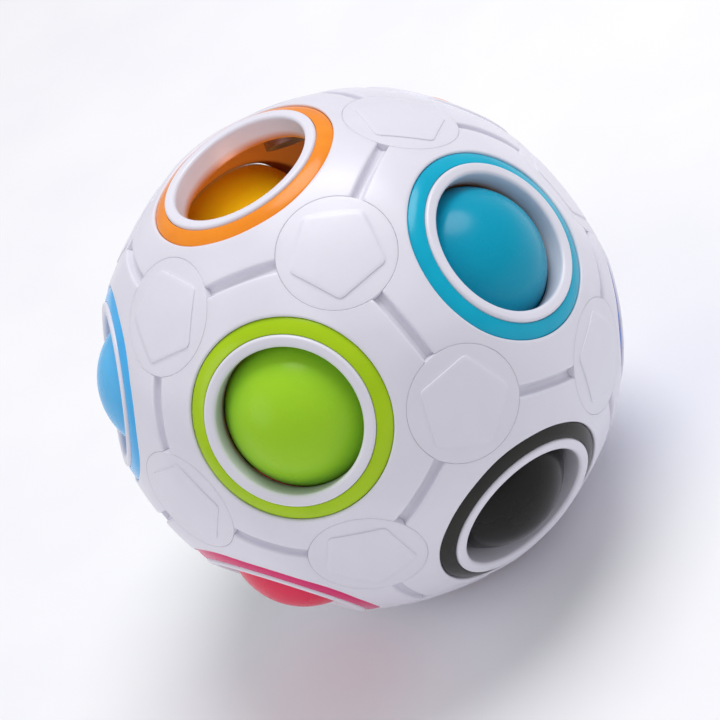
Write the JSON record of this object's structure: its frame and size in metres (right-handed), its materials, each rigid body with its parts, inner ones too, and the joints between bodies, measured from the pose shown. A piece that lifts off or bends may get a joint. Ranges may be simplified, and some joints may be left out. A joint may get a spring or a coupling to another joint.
{
  "type": "rainbow puzzle ball",
  "caption": "Hollow white puzzle ball with round holes in coloured rims; small coloured balls press in and pass under the shell to the empty hole.",
  "frame": {"origin": "centre of the ball", "axes": "+Z out through the empty hole, whose opposite hole is at the bottom; -Y towards the side of the hole with the green ring"},
  "size_m": [0.07, 0.0696, 0.067],
  "materials": {
    "shell_white": "satin moulded white with a cool cast",
    "core_white": "plain moulded",
    "steel": "zinc plated",
    "ring_orange": "smooth gloss",
    "ring_green": "smooth gloss",
    "ring_cyan": "smooth gloss",
    "ring_white": "smooth gloss",
    "ring_yellow": "smooth gloss",
    "ring_light_blue": "smooth gloss",
    "ring_dark_blue": "smooth gloss",
    "ring_purple": "smooth gloss",
    "ring_dark_green": "smooth gloss",
    "ring_pink": "smooth gloss",
    "ring_black": "smooth gloss",
    "ring_red": "smooth gloss",
    "ball_green": "smooth gloss",
    "ball_cyan": "smooth gloss",
    "ball_orange": "smooth gloss",
    "ball_yellow": "smooth gloss",
    "ball_light_blue": "smooth gloss",
    "ball_dark_blue": "smooth gloss",
    "ball_purple": "smooth gloss",
    "ball_dark_green": "smooth gloss",
    "ball_pink": "smooth gloss",
    "ball_black": "smooth gloss",
    "ball_red": "smooth gloss"
  },
  "bodies": {
    "shell": {"panel_orange": "shell_white", "panel_green": "shell_white", "panel_cyan": "shell_white", "panel_white": "shell_white", "panel_yellow": "shell_white", "panel_light_blue": "shell_white", "panel_dark_blue": "shell_white", "panel_purple": "shell_white", "panel_dark_green": "shell_white", "panel_pink": "shell_white", "panel_black": "shell_white", "panel_red": "shell_white", "ring_orange": "ring_orange", "ring_green": "ring_green", "ring_cyan": "ring_cyan", "ring_white": "ring_white", "ring_yellow": "ring_yellow", "ring_light_blue": "ring_light_blue", "ring_dark_blue": "ring_dark_blue", "ring_purple": "ring_purple", "ring_dark_green": "ring_dark_green", "ring_pink": "ring_pink", "ring_black": "ring_black", "ring_red": "ring_red", "cap_01": "shell_white", "cap_02": "shell_white", "cap_03": "shell_white", "cap_04": "shell_white", "cap_05": "shell_white", "cap_06": "shell_white", "cap_07": "shell_white", "cap_08": "shell_white", "cap_09": "shell_white", "cap_10": "shell_white", "cap_11": "shell_white", "cap_12": "shell_white", "cap_13": "shell_white", "cap_14": "shell_white", "cap_15": "shell_white", "cap_16": "shell_white", "cap_17": "shell_white", "cap_18": "shell_white", "cap_19": "shell_white", "cap_20": "shell_white", "corner_nuts": "steel", "corner_screws": "steel"},
    "core": {"core_ball": "core_white"},
    "small_ball_green": {"ball_green": "ball_green"},
    "small_ball_cyan": {"ball_cyan": "ball_cyan"},
    "small_ball_orange": {"ball_orange": "ball_orange"},
    "small_ball_yellow": {"ball_yellow": "ball_yellow"},
    "small_ball_light_blue": {"ball_light_blue": "ball_light_blue"},
    "small_ball_dark_blue": {"ball_dark_blue": "ball_dark_blue"},
    "small_ball_purple": {"ball_purple": "ball_purple"},
    "small_ball_dark_green": {"ball_dark_green": "ball_dark_green"},
    "small_ball_pink": {"ball_pink": "ball_pink"},
    "small_ball_black": {"ball_black": "ball_black"},
    "small_ball_red": {"ball_red": "ball_red"}
  },
  "joints": [
    {"name": "press_cyan", "type": "slide", "parent": "shell", "child": "small_ball_cyan", "axis": [0.8507, -0.2764, 0.4472], "range_m": [-0.0046, 0]},
    {"name": "press_orange", "type": "slide", "parent": "shell", "child": "small_ball_orange", "axis": [0.5257, 0.7236, 0.4472], "range_m": [-0.0046, 0]},
    {"name": "press_yellow", "type": "slide", "parent": "shell", "child": "small_ball_yellow", "axis": [-0.5257, 0.7236, 0.4472], "range_m": [-0.0046, 0]},
    {"name": "press_light_blue", "type": "slide", "parent": "shell", "child": "small_ball_light_blue", "axis": [-0.8507, -0.2764, 0.4472], "range_m": [-0.0046, 0]},
    {"name": "press_dark_blue", "type": "slide", "parent": "shell", "child": "small_ball_dark_blue", "axis": [0.8507, 0.2764, -0.4472], "range_m": [-0.0046, 0]},
    {"name": "press_purple", "type": "slide", "parent": "shell", "child": "small_ball_purple", "axis": [0, 0.8944, -0.4472], "range_m": [-0.0046, 0]},
    {"name": "press_dark_green", "type": "slide", "parent": "shell", "child": "small_ball_dark_green", "axis": [-0.8507, 0.2764, -0.4472], "range_m": [-0.0046, 0]},
    {"name": "press_pink", "type": "slide", "parent": "shell", "child": "small_ball_pink", "axis": [-0.5257, -0.7236, -0.4472], "range_m": [-0.0046, 0]},
    {"name": "press_black", "type": "slide", "parent": "shell", "child": "small_ball_black", "axis": [0.5257, -0.7236, -0.4472], "range_m": [-0.0046, 0]},
    {"name": "press_red", "type": "slide", "parent": "shell", "child": "small_ball_red", "axis": [0, 0, -1], "range_m": [-0.002, 0.0025]},
    {"name": "pass_green", "type": "hinge", "parent": "shell", "child": "small_ball_green", "pos_m": [0, -0.02089, 0.03379], "axis": [1, 0, 0], "range_deg": [0, 72]},
    {"name": "core_spin", "type": "hinge", "parent": "shell", "child": "core", "pos_m": [0, 0, 0], "axis": [0, 0, 1], "continuous": true}
  ]
}
